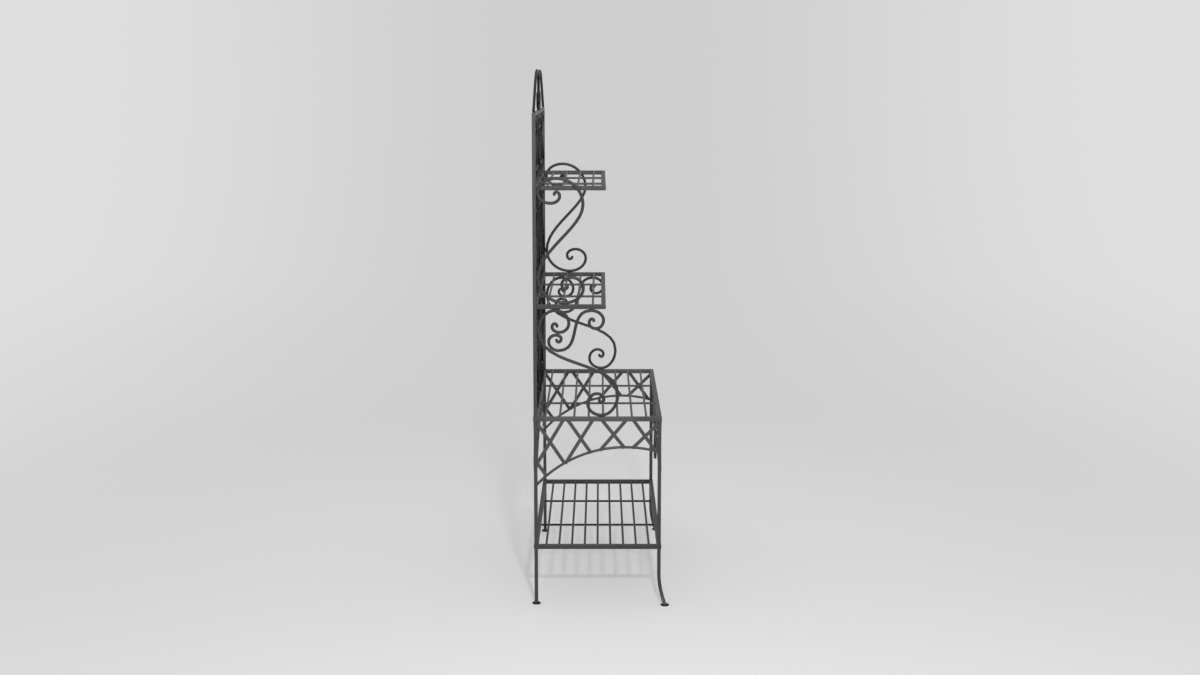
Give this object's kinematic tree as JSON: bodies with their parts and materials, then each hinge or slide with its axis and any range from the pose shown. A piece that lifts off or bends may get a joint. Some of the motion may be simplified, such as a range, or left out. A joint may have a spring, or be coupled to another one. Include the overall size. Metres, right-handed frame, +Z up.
{
  "type": "bakers rack",
  "caption": "Free-standing bakers rack of welded steel with grid shelves, scrolled ends, a latticed table apron and a scrolled crown.",
  "frame": {"origin": "on the floor, at the middle of the rack's overall width and depth", "axes": "+Z up, -Y towards the front of the rack, +X towards the right end seen from the front"},
  "size_m": [1.045, 0.4926, 1.906],
  "materials": {
    "painted_steel": "satin charcoal paint over forged and drawn steel"
  },
  "bodies": {
    "root": {"back_scroll_low_1": "painted_steel", "back_scroll_low_2": "painted_steel", "back_scroll_low_3": "painted_steel", "back_scroll_low_4": "painted_steel", "back_scroll_middle_1": "painted_steel", "back_scroll_middle_2": "painted_steel", "back_scroll_middle_3": "painted_steel", "back_scroll_middle_4": "painted_steel", "back_scroll_top_1": "painted_steel", "back_scroll_top_2": "painted_steel", "back_scroll_top_3": "painted_steel", "back_scroll_top_4": "painted_steel", "crown_scroll_left": "painted_steel", "crown_scroll_right": "painted_steel", "end_arch_and_lattice_left": "painted_steel", "end_arch_and_lattice_right": "painted_steel", "foot_pad_front_left": "painted_steel", "foot_pad_front_right": "painted_steel", "foot_pad_rear_left": "painted_steel", "foot_pad_rear_right": "painted_steel", "front_arch_and_lattice": "painted_steel", "front_centre_drop": "painted_steel", "large_end_scroll_left": "painted_steel", "large_end_scroll_right": "painted_steel", "low_shelf_end_rail_left": "painted_steel", "low_shelf_end_rail_right": "painted_steel", "low_shelf_front_rail": "painted_steel", "low_shelf_grid": "painted_steel", "low_shelf_rear_rail": "painted_steel", "lower_leg_front_left": "painted_steel", "lower_leg_front_right": "painted_steel", "lower_leg_rear_left": "painted_steel", "lower_leg_rear_right": "painted_steel", "middle_leg_front_left": "painted_steel", "middle_leg_front_right": "painted_steel", "middle_leg_rear_left": "painted_steel", "middle_leg_rear_right": "painted_steel", "middle_shelf_end_rail_left": "painted_steel", "middle_shelf_end_rail_right": "painted_steel", "middle_shelf_front_rail": "painted_steel", "middle_shelf_grid": "painted_steel", "middle_shelf_rear_rail": "painted_steel", "rear_arch_and_lattice": "painted_steel", "rear_post_left": "painted_steel", "rear_post_right": "painted_steel", "small_end_scroll_left": "painted_steel", "small_end_scroll_right": "painted_steel", "table_end_rail_left": "painted_steel", "table_end_rail_right": "painted_steel", "table_front_rail": "painted_steel", "table_grid": "painted_steel", "table_rear_rail": "painted_steel", "top_rail": "painted_steel", "top_shelf_end_rail_left": "painted_steel", "top_shelf_end_rail_right": "painted_steel", "top_shelf_front_rail": "painted_steel", "top_shelf_grid": "painted_steel", "top_shelf_rear_rail": "painted_steel", "upper_end_scroll_left": "painted_steel", "upper_end_scroll_right": "painted_steel"}
  },
  "joints": []
}
